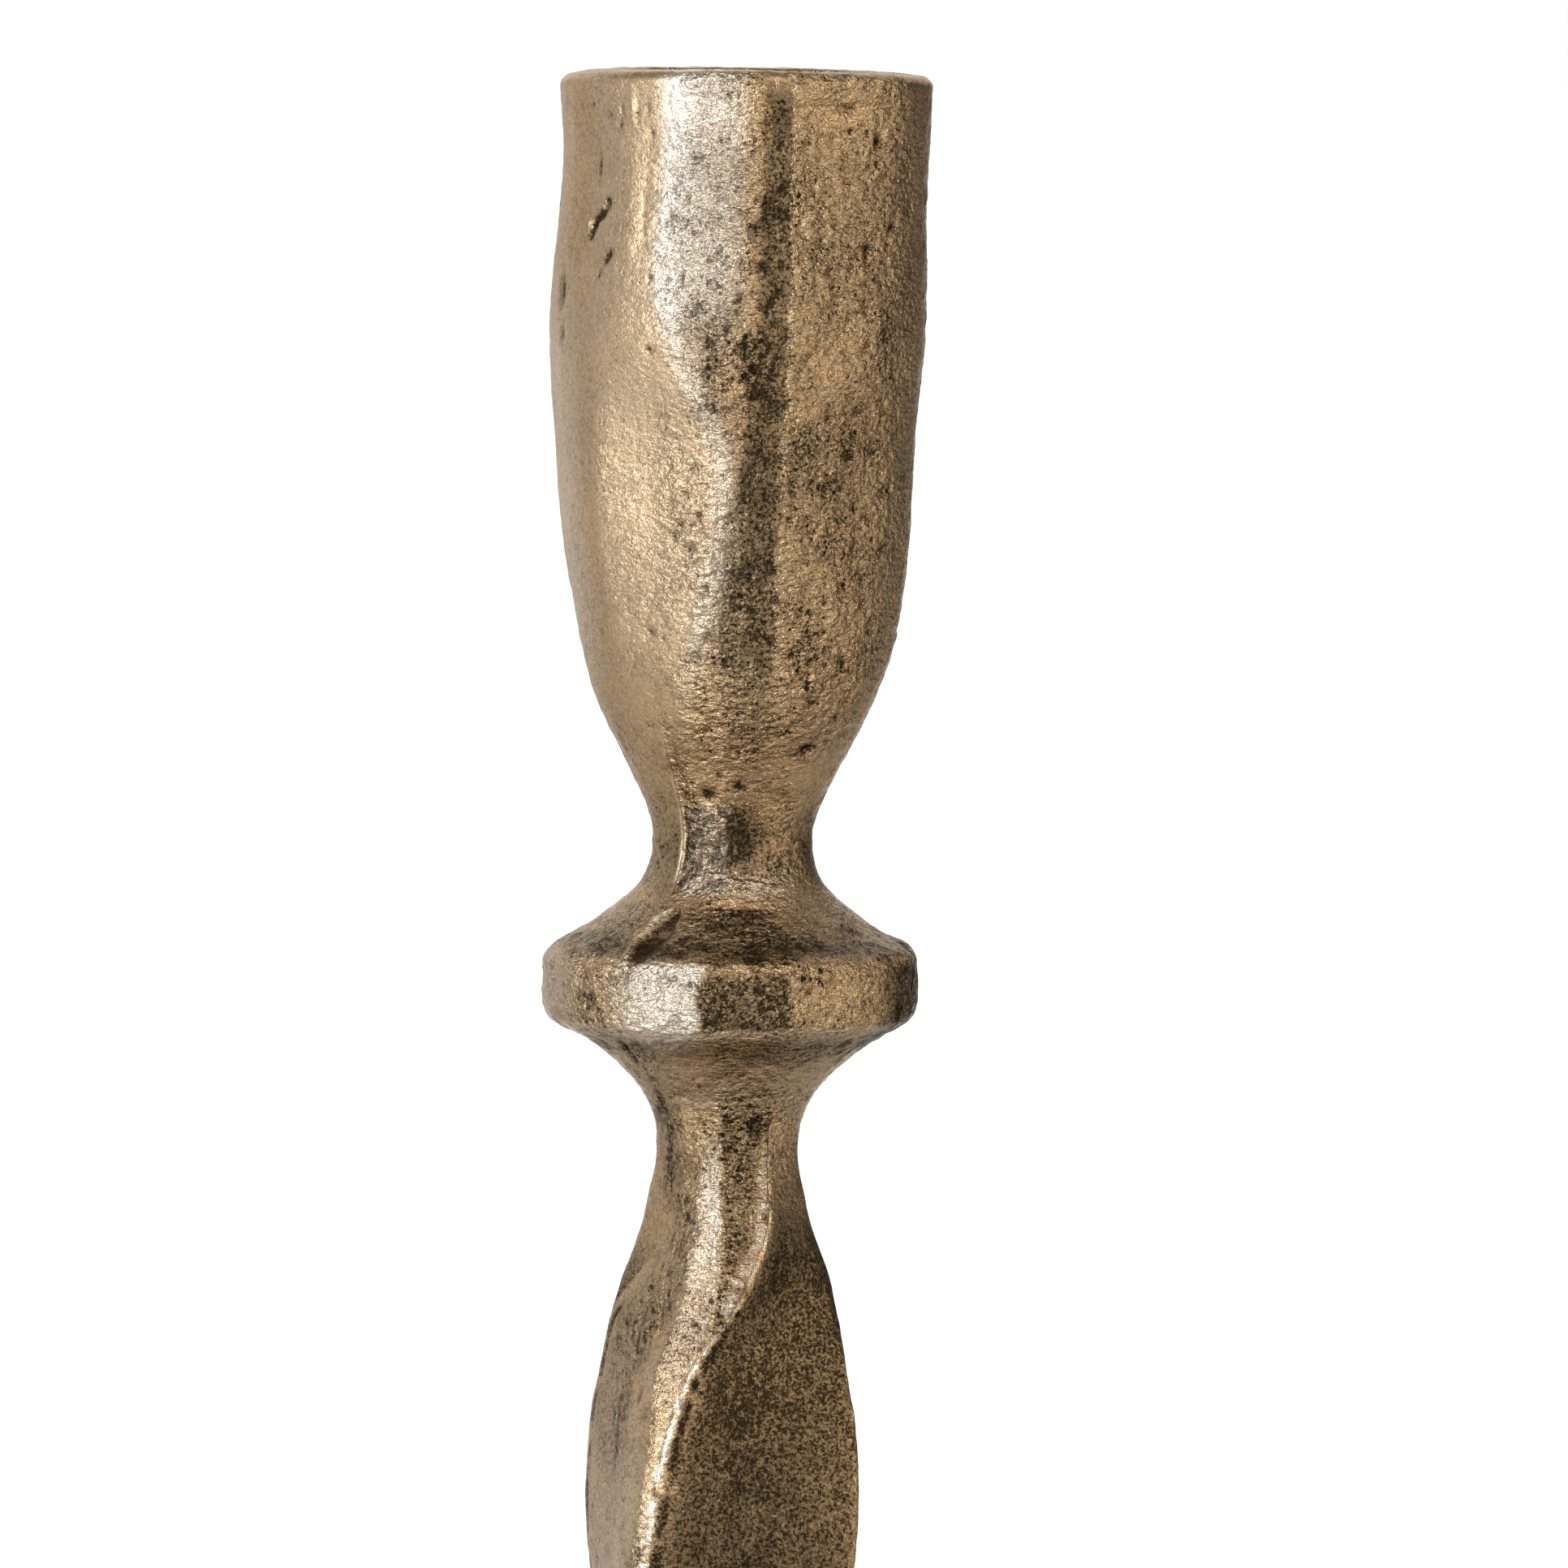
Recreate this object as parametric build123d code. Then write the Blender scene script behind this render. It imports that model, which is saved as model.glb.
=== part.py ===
from build123d import *
import math
import os

# Spiral candle holder: five metal castings in a stack, held by a stud and a bolt, on a felt disc.
# Millimetres, +Z up, origin at the middle of the underside. The front looks along -Y.

# Candle
candle_radius = 11.0
candle_clearance = 0.5
socket_depth = 32.0
socket_lead = 1.0

# Cup
cup_height = 78.0
cup_belly_radius = 17.9
cup_neck_radius = 7.6
rim_round = 1.6
# How far the cup's outline swells from the neck (0) to the belly (1), at even steps from the
# neck up to the rim
cup_swell_shares = (0.00, 0.21, 0.51, 0.70, 0.80, 0.87, 0.92, 0.965, 1.00, 0.985, 0.95, 0.96, 0.98)
# Directions of the eight soft ridges round the cup, as shares of a turn from the front
cup_ridge_shares = (-0.272, -0.128, -0.067, 0.036, 0.186, 0.278, 0.417, 0.572)
# Roundness of the ridges as shares of the section's radius, on the neck and on the body
neck_ridge_round_share = 0.62
body_ridge_round_share = 0.24
# How far a ridge's corner stands out of its rounding, as a share of the rounding
ridge_reach_share = 0.08

# Collars
collar_height = 19.5
collar_radius = 17.8
collar_band_height = 7.4
collar_edge_round = 1.5
# Height of the middle of the band above the narrow joint, as a share of the collar's height
collar_band_share = 0.57
# How far the two hollow cones of a collar bow inward, as a share of their slant
collar_bow_share = 0.09

# Joints between the castings: a spigot on one sits in a recess of the other
wide_joint_radius = 10.3
narrow_joint_radius = 7.5
wide_spigot_radius = 6.5
narrow_spigot_radius = 5.0
spigot_length = 2.0
spigot_clearance = 0.15

# Twisted stem
stem_length = 150.0
stem_neck_radius = 6.65
stem_neck_run = 9.5
stem_taper_run = 29.5
stem_swell_across = 21.2
stem_waist_across = 16.0
# Twist at each neck and at the waist as shares of a turn, and the lengths of stem that they take
neck_twist_share = 0.217
neck_twist_run = 30.0
neck_twist_start = 3.0
waist_twist_share = 0.32
waist_twist_run = 60.0
# Direction of the first ridge at the upper joint, as a share of a turn from the front
first_ridge_share = 0.136
# Roundness of the four ridges as shares of the distance across the bar, at the necks and on the bar
neck_corner_share = 0.48
bar_corner_share = 0.09
stem_ridges = 4
stem_sections = 33

# Foot
foot_height = 52.0
foot_radius = 54.0
foot_neck_radius = 7.9
foot_band_height = 8.0
foot_edge_round = 2.4
foot_wall = 5.0
foot_rim_width = 10.0
foot_boss_radius = 11.0
foot_boss_lift = 12.0
# Cone of the foot: radius from the neck (0) to the band (1), and height from the band (0) to the joint (1)
foot_cone_shares = ((0.62, 0.15), (0.30, 0.36), (0.08, 0.63), (0.00, 0.84))

# Fasteners
thread_radius = 3.0
thread_clearance = 0.05
through_clearance = 0.3
thread_engagement = 14.0
tapped_end_gap = 2.0
thread_end_chamfer = 0.7
bolt_head_across = 10.0
bolt_head_height = 4.0
hexagon_sides = 6
flat_washer_radius = 6.0
flat_washer_thickness = 1.6
spring_washer_radius = 5.7
spring_washer_thickness = 1.6
spring_washer_slot = 0.8
washer_clearance = 0.2

# Felt
felt_thickness = 2.0
felt_inset = 3.0

# Cuts run past the faces that they open by this much
cut_overrun = 1.0

# Levels up the stack
foot_level = felt_thickness
lower_collar_level = foot_level + foot_height
stem_level = lower_collar_level + collar_height
upper_collar_level = stem_level + stem_length
cup_level = upper_collar_level + collar_height
flat_washer_level = foot_level + foot_boss_lift - flat_washer_thickness
spring_washer_level = flat_washer_level - spring_washer_thickness
bolt_head_level = spring_washer_level - bolt_head_height

quarter_turn = 90
full_turn = 360
spring_slot_slant = 25


def smooth_step(value):
    """Smooth rise from 0 to 1 while the value goes from 0 to 1."""
    held = min(max(value, 0), 1)
    return held * held * (3 - 2 * held)


def front_point(radius, turn):
    """Point at a radius, turned from the front by a share of a full turn, to the right as it grows."""
    angle = math.radians(full_turn * turn - quarter_turn)
    return (radius * math.cos(angle), radius * math.sin(angle))


def rounded_section(corners, corner_round, level):
    """Flat polygon with rounded corners at a level."""
    outline = FilletPolyline(*corners, radius=corner_round, close=True)
    return Pos(0, 0, level) * make_face(outline)


def post(radius, bottom, top):
    """Upright cylinder between two levels."""
    base = (Align.CENTER, Align.CENTER, Align.MIN)
    return Pos(0, 0, bottom) * Cylinder(radius, top - bottom, align=base)


def turned(*edges):
    """Solid of revolution about the Z axis from an outline of radii and levels."""
    return revolve(Plane.XZ * make_face(edges), Axis.Z)


def cup_section(level_share, radius):
    """Eight-sided section of the cup, nearly round on the neck, whose ridges reach the outline."""
    swell = smooth_step((radius - cup_neck_radius) / (cup_belly_radius - cup_neck_radius))
    ridge_round_share = neck_ridge_round_share + (body_ridge_round_share - neck_ridge_round_share) * swell
    ridge_round = radius * ridge_round_share
    corner_radius = radius + ridge_round * ridge_reach_share
    corners = [front_point(corner_radius, turn) for turn in cup_ridge_shares]
    return rounded_section(corners, ridge_round, cup_level + cup_height * level_share)


def candle_cup():
    """Tulip cup with a blind candle socket above and a tapped hole below."""
    radii = [wide_joint_radius]
    for swell_share in cup_swell_shares:
        radii.append(cup_neck_radius + (cup_belly_radius - cup_neck_radius) * swell_share)
    steps = len(radii) - 1
    body = loft([cup_section(index / steps, radius) for index, radius in enumerate(radii)])
    body = fillet(body.faces().sort_by(Axis.Z)[-1].edges(), rim_round)
    body += post(wide_spigot_radius, cup_level - spigot_length, cup_level + cut_overrun)

    rim_level = cup_level + cup_height
    socket_radius = candle_radius + candle_clearance
    socket_floor = rim_level - socket_depth
    body -= post(socket_radius, socket_floor, rim_level + cut_overrun)
    lead = Cone(
        socket_radius,
        socket_radius + socket_lead,
        socket_lead,
        align=(Align.CENTER, Align.CENTER, Align.MAX),
    )
    body -= Pos(0, 0, rim_level) * lead
    hole_top = cup_level + thread_engagement + tapped_end_gap
    body -= post(thread_radius + thread_clearance, cup_level - spigot_length - cut_overrun, hole_top)
    return body


def collar():
    """Disc collar that stands on its narrow joint, with a recess at each end and a hole through it."""
    band_middle = collar_height * collar_band_share
    band_bottom = band_middle - collar_band_height / 2
    band_top = band_middle + collar_band_height / 2
    narrow_end = (narrow_joint_radius, 0)
    lower_edge = (collar_radius, band_bottom)
    upper_edge = (collar_radius, band_top)
    wide_end = (wide_joint_radius, collar_height)
    axis_bottom = (0, 0)
    axis_top = (0, collar_height)
    lower_cone = SagittaArc(narrow_end, lower_edge, collar_bow_share * math.dist(narrow_end, lower_edge))
    upper_cone = SagittaArc(upper_edge, wide_end, collar_bow_share * math.dist(upper_edge, wide_end))
    body = turned(
        Line(axis_bottom, narrow_end),
        lower_cone,
        Line(lower_edge, upper_edge),
        upper_cone,
        Line(wide_end, axis_top),
        Line(axis_top, axis_bottom),
    )
    band_edges = [
        edge for edge in body.edges().filter_by(GeomType.CIRCLE) if math.isclose(edge.radius, collar_radius)
    ]
    body = fillet(band_edges, collar_edge_round)
    recess_depth = spigot_length + spigot_clearance
    body -= post(narrow_spigot_radius + spigot_clearance, -cut_overrun, recess_depth)
    body -= post(
        wide_spigot_radius + spigot_clearance,
        collar_height - recess_depth,
        collar_height + cut_overrun,
    )
    body -= post(thread_radius + through_clearance, -cut_overrun, collar_height + cut_overrun)
    return body


def stem_across(depth):
    """Distance across the flats of the bar at a depth below its upper joint."""
    nearest = min(depth, stem_length - depth)
    swell_depth = stem_neck_run + stem_taper_run
    rise = smooth_step((nearest - stem_neck_run) / stem_taper_run)
    dip = smooth_step((nearest - swell_depth) / (stem_length / 2 - swell_depth))
    neck_across = 2 * stem_neck_radius
    across = neck_across + (stem_swell_across - neck_across) * rise
    return across - (stem_swell_across - stem_waist_across) * dip


def stem_turn(depth):
    """Turn of the bar's first ridge from the front; the bar twists most where it is thin."""
    upper = smooth_step((depth - neck_twist_start) / neck_twist_run)
    waist = smooth_step((depth - stem_length / 2) / waist_twist_run + 1 / 2)
    lower = 1 - smooth_step((stem_length - depth - neck_twist_start) / neck_twist_run)
    return first_ridge_share - neck_twist_share * (upper + lower) - waist_twist_share * waist


def stem_section(depth):
    """Rounded square section of the stem, nearly round at its two ends."""
    nearest = min(depth, stem_length - depth)
    flare = smooth_step(1 - nearest * 2 / stem_neck_run)
    across = stem_across(depth) + 2 * (narrow_joint_radius - stem_neck_radius) * flare
    crispness = smooth_step((2 * nearest - stem_neck_run) / stem_taper_run)
    corner_share = neck_corner_share + (bar_corner_share - neck_corner_share) * crispness
    corner_radius = across / math.sqrt(2)
    turn = stem_turn(depth)
    corners = [front_point(corner_radius, turn + ridge / stem_ridges) for ridge in range(stem_ridges)]
    return rounded_section(corners, across * corner_share, upper_collar_level - depth)


def twisted_stem():
    """Twisted bar with a spigot and a tapped hole at each end."""
    step = stem_length / (stem_sections - 1)
    body = loft([stem_section(stem_length - index * step) for index in range(stem_sections)])
    bottom = stem_level - spigot_length
    top = upper_collar_level + spigot_length
    body += post(narrow_spigot_radius, bottom, stem_level + cut_overrun)
    body += post(narrow_spigot_radius, upper_collar_level - cut_overrun, top)
    hole_radius = thread_radius + thread_clearance
    hole_depth = thread_engagement + tapped_end_gap
    body -= post(hole_radius, bottom - cut_overrun, stem_level + hole_depth)
    body -= post(hole_radius, upper_collar_level - hole_depth, top + cut_overrun)
    return body


def foot():
    """Flared foot, hollow below round a boss, with a spigot on top and a bolt hole through it."""
    band_reach = foot_radius - foot_edge_round
    cone_rise = foot_height - foot_band_height
    cone = [
        (foot_neck_radius + (band_reach - foot_neck_radius) * reach, foot_band_height + cone_rise * rise)
        for reach, rise in foot_cone_shares
    ]
    band_bottom = (foot_radius, 0)
    band_top = (foot_radius, foot_band_height)
    joint = (wide_joint_radius, foot_height)
    axis_bottom = (0, 0)
    axis_top = (0, foot_height)
    body = turned(
        Line(axis_bottom, band_bottom),
        Line(band_bottom, band_top),
        Spline(band_top, *cone, joint),
        Line(joint, axis_top),
        Line(axis_top, axis_bottom),
    )
    band_edges = [
        edge for edge in body.edges().filter_by(GeomType.CIRCLE) if math.isclose(edge.radius, foot_radius)
    ]
    body = fillet(band_edges, foot_edge_round)

    hollow_radius = foot_radius - foot_rim_width
    ceiling = [(radius, level - foot_wall) for radius, level in cone[:2]]
    ceiling_level = ceiling[-1][1]
    hollow = turned(
        Polyline(
            axis_bottom,
            (hollow_radius, 0),
            (hollow_radius, foot_band_height - foot_wall),
            *ceiling,
            (0, ceiling_level),
            close=True,
        )
    )
    body -= hollow
    body += post(foot_boss_radius, foot_boss_lift, ceiling_level + cut_overrun)
    body += post(wide_spigot_radius, foot_height - cut_overrun, foot_height + spigot_length)
    body -= post(thread_radius + through_clearance, 0, foot_height + spigot_length + cut_overrun)
    return Pos(0, 0, foot_level) * body


def threaded_rod(bottom, top):
    """Threaded rod between two levels, drawn at its outer diameter, with chamfered ends."""
    rod = post(thread_radius, bottom, top)
    return chamfer(rod.edges().filter_by(GeomType.CIRCLE), thread_end_chamfer)


def upper_stud():
    """Stud that joins the cup to the stem through the upper collar."""
    return threaded_rod(upper_collar_level - thread_engagement, cup_level + thread_engagement)


def washer(outer_radius, thickness, level):
    """Flat ring that slides on the bolt."""
    ring = post(outer_radius, level, level + thickness)
    return ring - post(thread_radius + washer_clearance, level - cut_overrun, level + thickness + cut_overrun)


def foot_bolt():
    """Hex bolt from below through the foot and the lower collar into the stem."""
    shank = threaded_rod(spring_washer_level - thread_end_chamfer, stem_level + thread_engagement)
    hexagon = RegularPolygon(bolt_head_across / 2, hexagon_sides, major_radius=False)
    head = extrude(hexagon, bolt_head_height)
    return shank + Pos(0, 0, bolt_head_level) * head


def spring_washer():
    """Washer with a slanting slot cut through one side."""
    ring = washer(spring_washer_radius, spring_washer_thickness, spring_washer_level)
    slot = Box(2 * spring_washer_radius, spring_washer_slot, spring_washer_thickness + 2 * cut_overrun)
    middle = spring_washer_level + spring_washer_thickness / 2
    return ring - Pos(spring_washer_radius, 0, middle) * Rot(spring_slot_slant, 0, 0) * slot


def felt_disc():
    """Felt disc glued to the rim of the foot's underside."""
    return post(foot_radius - felt_inset, 0, felt_thickness)


collar_casting = collar()
turned_over = Pos(0, 0, lower_collar_level + collar_height) * Rot(2 * quarter_turn, 0, 0)

nodes = {
    "candle_cup": candle_cup(),
    "upper_collar": Pos(0, 0, upper_collar_level) * collar_casting,
    "twisted_stem": twisted_stem(),
    "lower_collar": turned_over * collar_casting,
    "foot": foot(),
    "upper_stud": upper_stud(),
    "foot_bolt": foot_bolt(),
    "spring_washer": spring_washer(),
    "flat_washer": washer(flat_washer_radius, flat_washer_thickness, flat_washer_level),
    "felt_disc": felt_disc(),
}

os.makedirs("parts", exist_ok=True)
for name, shape in nodes.items():
    export_step(shape, f"parts/{name}.step")
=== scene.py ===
import math

import bpy
import numpy as np
from mathutils import Matrix, Vector


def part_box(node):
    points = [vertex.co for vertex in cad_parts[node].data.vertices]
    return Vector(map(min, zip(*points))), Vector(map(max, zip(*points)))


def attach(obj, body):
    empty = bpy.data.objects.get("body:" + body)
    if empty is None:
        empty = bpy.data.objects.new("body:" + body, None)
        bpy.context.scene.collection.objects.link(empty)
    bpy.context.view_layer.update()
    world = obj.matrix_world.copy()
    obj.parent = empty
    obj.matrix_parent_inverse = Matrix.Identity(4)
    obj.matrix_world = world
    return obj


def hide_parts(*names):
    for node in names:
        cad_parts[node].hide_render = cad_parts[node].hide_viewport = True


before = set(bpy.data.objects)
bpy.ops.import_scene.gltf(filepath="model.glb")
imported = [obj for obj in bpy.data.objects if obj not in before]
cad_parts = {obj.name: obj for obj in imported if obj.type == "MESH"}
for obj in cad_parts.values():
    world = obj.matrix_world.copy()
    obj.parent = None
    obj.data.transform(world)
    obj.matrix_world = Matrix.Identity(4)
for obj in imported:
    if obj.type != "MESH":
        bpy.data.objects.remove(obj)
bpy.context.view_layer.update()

# Lengths are written in millimetres and turned into metres where a mesh, lamp or camera is made.
# Directions round the holder are in degrees from its front, which faces -Y, and grow to the right.
MM = 0.001

# Levels of the joints, read from the frame
rim_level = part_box("candle_cup")[1].z / MM
cup_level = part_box("upper_collar")[1].z / MM
stem_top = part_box("upper_collar")[0].z / MM
stem_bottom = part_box("lower_collar")[1].z / MM
foot_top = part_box("lower_collar")[0].z / MM
foot_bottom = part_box("foot")[0].z / MM
felt_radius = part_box("felt_disc")[1].x / MM
felt_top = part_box("felt_disc")[1].z / MM

# Joints and holes inside the castings
WIDE_SPIGOT = 6.5
NARROW_SPIGOT = 5.0
SPIGOT_LENGTH = 2.0
SPIGOT_CLEARANCE = 0.15
TAPPED_RADIUS = 3.05
TAPPED_DEPTH = 16.0
THROUGH_RADIUS = 3.3
# Radius of the innermost ring of a closed end
HUB_RADIUS = 0.5


# Noise and curves

def lattice_gradient(cell, seed):
    """Fixed gradient for each corner of the noise lattice."""
    mixed = (
        cell[..., 0].astype(np.uint32) * np.uint32(374761393)
        + cell[..., 1].astype(np.uint32) * np.uint32(668265263)
        + cell[..., 2].astype(np.uint32) * np.uint32(2246822519)
        + np.uint32(seed * 3266489917 % 4294967296)
    )
    mixed = (mixed ^ (mixed >> np.uint32(15))) * np.uint32(2246822519)
    mixed = (mixed ^ (mixed >> np.uint32(13))) * np.uint32(3266489917)
    mixed = mixed ^ (mixed >> np.uint32(16))
    parts = [((mixed >> np.uint32(shift)) & np.uint32(1023)).astype(float) / 511.5 - 1 for shift in (0, 10, 20)]
    return np.stack(parts, axis=-1)


def noise(points, size, seed, octaves=1, gain=0.5):
    """Gradient noise of about -1 to 1 with bumps of the given size, in as many octaves as asked."""
    total = np.zeros(points.shape[:-1])
    weight, reach = 1.0, 0.0
    for octave in range(octaves):
        place = points / (size / 2 ** octave)
        cell = np.floor(place).astype(np.int64)
        part = place - cell
        fade = part * part * part * (part * (part * 6 - 15) + 10)
        layer = np.zeros_like(total)
        for corner in range(8):
            step = np.array([corner & 1, corner >> 1 & 1, corner >> 2 & 1])
            slope = lattice_gradient(cell + step, seed + 17 * octave)
            share = np.prod(np.where(step, fade, 1 - fade), axis=-1)
            layer += share * np.sum(slope * (part - step), axis=-1)
        total += weight * layer
        reach += weight
        weight *= gain
    return 1.6 * total / reach


def ramp(low, high, value):
    """Smooth change from 0 at low to 1 at high, which may also lie below low."""
    held = np.clip((value - low) / (high - low), 0, 1)
    return held * held * (3 - 2 * held)


def window(low, full, fading, gone, value):
    """Smooth rise from 0 at low to 1 at full, and smooth fall from 1 at fading to 0 at gone."""
    return ramp(low, full, value) * (1 - ramp(fading, gone, value))


def curve(knots, at):
    """Smooth curve through listed knots that never swings past them, read at the given places."""
    place, value = np.array(knots, float).T
    span = np.diff(place)
    rise = np.diff(value) / span
    slope = np.concatenate([rise[:1], np.zeros(len(place) - 2), rise[-1:]])
    level = rise[:-1] * rise[1:] > 0
    before, after = span[:-1] + 2 * span[1:], 2 * span[:-1] + span[1:]
    safe = np.where(level, rise[:-1] * after + rise[1:] * before, 1)
    slope[1:-1] = np.where(level, (before + after) * rise[:-1] * rise[1:] / safe, 0)
    index = np.clip(np.searchsorted(place, at) - 1, 0, len(span) - 1)
    t = np.clip((at - place[index]) / span[index], 0, 1)
    start = value[index] * (1 + 2 * t) * (1 - t) ** 2 + slope[index] * span[index] * t * (1 - t) ** 2
    end = value[index + 1] * (3 - 2 * t) * t ** 2 + slope[index + 1] * span[index] * (t - 1) * t ** 2
    return start + end


def outline_through(points, spacing):
    """Points at an even spacing along a smooth curve through listed outline points."""
    points = np.array(points, float)
    run = np.concatenate([[0], np.cumsum(np.hypot(*np.diff(points, axis=0).T))])
    at = np.linspace(0, run[-1], max(int(run[-1] / spacing), 2) + 1)
    return np.stack([curve(np.stack([run, points[:, k]], axis=1), at) for k in (0, 1)], axis=1)


# Skin of a casting, from an outline that is turned about the Z axis

# Columns crowd towards the front by this share
FRONT_SHARE = 0.4
# Bake map: the skin's share of its height, and the middles, level and reach of the two closed ends
MAP_SHARE = 0.94
MAP_ENDS = (0.03, 0.10)
MAP_END_LEVEL = 0.97
MAP_END_REACH = 0.025


class Skin:
    """Grid of points round the axis: rows follow an outline of radii and levels, columns go round."""

    def __init__(self, outline, columns, before=(), after=(), ring=False):
        outline = np.array(outline, float)
        parts = [np.array(part, float).reshape(-1, 2) for part in (before, outline, after)]
        whole = np.concatenate(parts)
        self.radius, self.level = whole[:, 0:1], whole[:, 1:2]
        even = np.linspace(-np.pi, np.pi, columns, endpoint=False)
        self.turn = np.degrees(even - FRONT_SHARE * np.sin(even))[None, :]
        self.rows, self.columns, self.ring = len(whole), columns, ring
        self.shape = (self.rows, columns)
        first, last = len(parts[0]), len(parts[0]) + len(outline)
        along = np.gradient(outline, axis=0)
        along /= np.hypot(along[:, 0], along[:, 1])[:, None]
        self.out_r, self.out_z = np.zeros((self.rows, 1)), np.zeros((self.rows, 1))
        self.out_r[first:last, 0], self.out_z[first:last, 0] = along[:, 1], -along[:, 0]
        self.outside = np.zeros((self.rows, 1))
        self.outside[first:last] = 1
        inner = [row for row in range(self.rows) if not first < row < last - 1]
        self.sharp_rows = np.array(inner, int)
        self.factor = np.ones(self.shape)
        self.offset = np.zeros(self.shape)
        self.lift = np.zeros(self.shape)
        self.shift = np.zeros((self.rows, 1))
        self.wear_and_light = {key: np.zeros(self.shape) for key in ("patina", "coarse", "scored", "worn")}

    def placed(self, radius, level):
        """Points at the given radii and levels."""
        angle = np.radians(self.turn)
        return np.stack([radius * np.sin(angle) + self.shift, -radius * np.cos(angle), level], axis=-1)

    def points(self):
        """Points of the skin before it is roughened, where noise is read."""
        return self.placed(self.radius * self.factor, self.level + np.zeros(self.shape))

    def arc_from(self, turn):
        """Distance round the skin from a direction."""
        return (np.mod(self.turn - turn + 180, 360) - 180) * np.pi / 180 * self.radius

    def dent(self, turn, level, width, height, depth, lean=0.0, stain=0.0):
        """Press an oval hollow into the skin, or raise it where the depth is negative."""
        across = self.arc_from(turn) - lean * (self.level - level)
        reach = (across / width) ** 2 + ((self.level - level) / height) ** 2
        self.offset -= depth * np.exp(-1.4 * reach)
        self.mark(patina=stain * np.exp(-2.0 * reach))

    def mark(self, **wear_and_light):
        """Add to the wear and painted light of the outside."""
        for key, amount in wear_and_light.items():
            self.wear_and_light[key] += amount * self.outside

    def build(self, name):
        """Mesh piece of the skin, closed at its ends, with a map for baking and its wear and painted light as
        attributes.
        """
        offset = self.offset * self.outside
        radius = self.radius * self.factor + self.out_r * offset
        grid = self.placed(radius, self.level + self.lift + self.out_z * offset)
        index = np.arange(self.rows * self.columns).reshape(self.shape)
        index_after = np.roll(index, -1, axis=1)
        above = np.roll(index, -1, axis=0)
        above_after = np.roll(index_after, -1, axis=0)
        used = self.rows if self.ring else self.rows - 1
        quads = np.stack([index, index_after, above_after, above], axis=-1)[:used].reshape(-1, 4)
        column = np.arange(self.columns) / self.columns
        step = 1 / self.columns
        low_v = (np.arange(used) / self.rows * MAP_SHARE)[:, None] + np.zeros((1, self.columns))
        high_v = low_v + MAP_SHARE / self.rows
        u = column[None, :] + np.zeros((used, 1))
        corners = [np.stack(pair, -1) for pair in ((u, low_v), (u + step, low_v), (u + step, high_v), (u, high_v))]
        faces, maps = quads.tolist(), [np.stack(corners, axis=2).reshape(-1, 2)]
        points = grid.reshape(-1, 3)
        if not self.ring:
            hubs = []
            for row, middle, order in ((0, MAP_ENDS[0], (1, 0, 2)), (-1, MAP_ENDS[1], (0, 1, 2))):
                hub = len(points) + len(hubs)
                hubs.append(grid[row].mean(axis=0))
                trios = np.stack([index[row], index_after[row], np.full(self.columns, hub)], axis=-1)
                faces += trios[:, order].tolist()
                turn = 2 * np.pi * column
                edge = np.stack([
                    middle + MAP_END_REACH * np.cos(turn), MAP_END_LEVEL + MAP_END_REACH * np.sin(turn)], -1)
                centre = np.broadcast_to([middle, MAP_END_LEVEL], edge.shape)
                maps.append(np.stack([edge, np.roll(edge, -1, axis=0), centre], axis=1)[:, order].reshape(-1, 2))
            points = np.concatenate([points, np.array(hubs)])
        mesh = bpy.data.meshes.new(name)
        mesh.from_pydata((points * MM).tolist(), [], faces)
        mesh.polygons.foreach_set("use_smooth", np.ones(len(faces), bool))
        mesh.uv_layers.new(name="OFBake").data.foreach_set("uv", np.concatenate(maps).astype(np.float32).ravel())
        ends = np.zeros(2 * len(mesh.edges), np.int32)
        mesh.edges.foreach_get("vertices", ends)
        rows = ends.reshape(-1, 2) // self.columns
        sharp = (rows[:, 0] == rows[:, 1]) & np.isin(rows[:, 0], self.sharp_rows)
        mesh.attributes.new("sharp_edge", "BOOLEAN", "EDGE").data.foreach_set("value", sharp)
        for key, wear_and_light in self.wear_and_light.items():
            values = np.zeros(len(points), np.float32)
            values[:wear_and_light.size] = np.clip(wear_and_light, 0, 1).ravel()
            mesh.attributes.new(key, "FLOAT", "POINT").data.foreach_set("value", values)
        mesh.update()
        piece = bpy.data.objects.new(name, mesh)
        bpy.context.scene.collection.objects.link(piece)
        return piece


def cast_surface(skin, strength=1.0):
    """Uneven skin of a sand casting: slow lumps, hammer-sized hollows, coarse grain and scattered pits."""
    place = skin.points()
    wear_and_light = skin.wear_and_light
    coarse = np.clip(wear_and_light["coarse"] + (0.12 + 0.4 * wear_and_light["coarse"]) * noise(place, 9.0, 11, 2), 0, 1)
    lumps = noise(place, 15.0, 12, 2)
    hollows = noise(place, 4.5, 13, 2)
    grain = noise(place, 1.5, 14, 2, 0.6)
    wrinkles = noise(place * (0.7, 0.7, 1.5), 1.0, 16)
    holes = ramp(0.34, 0.60, noise(place, 1.9, 15)) * coarse
    skin.offset += strength * (
        0.055 * lumps + (0.03 + 0.15 * coarse) * hollows + (0.018 + 0.200 * coarse) * grain
        + 0.110 * coarse * wrinkles - 0.23 * holes)
    wear_and_light["patina"] += 0.45 * holes + 0.25 * coarse * ramp(0.05, 0.6, -hollows)
    wear_and_light["coarse"] = coarse


def facet_factor(turn, ridges, sharpness):
    """Radius of a soft polygon whose ridges lie in the given directions, as a share of the ridges' radius."""
    total = np.zeros(np.broadcast_shapes(turn.shape, ridges[0].shape))
    for ridge, following in zip(ridges, ridges[1:] + [ridges[0] + 360]):
        middle, half = (ridge + following) / 2, (following - ridge) / 2
        facing = np.cos(np.radians(np.mod(turn - middle + 180, 360) - 180))
        total += (np.maximum(facing, 0.05) / np.cos(np.radians(half))) ** sharpness
    return (2 / total) ** (1 / sharpness)


# Candle cup. Heights are above its joint.

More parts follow.
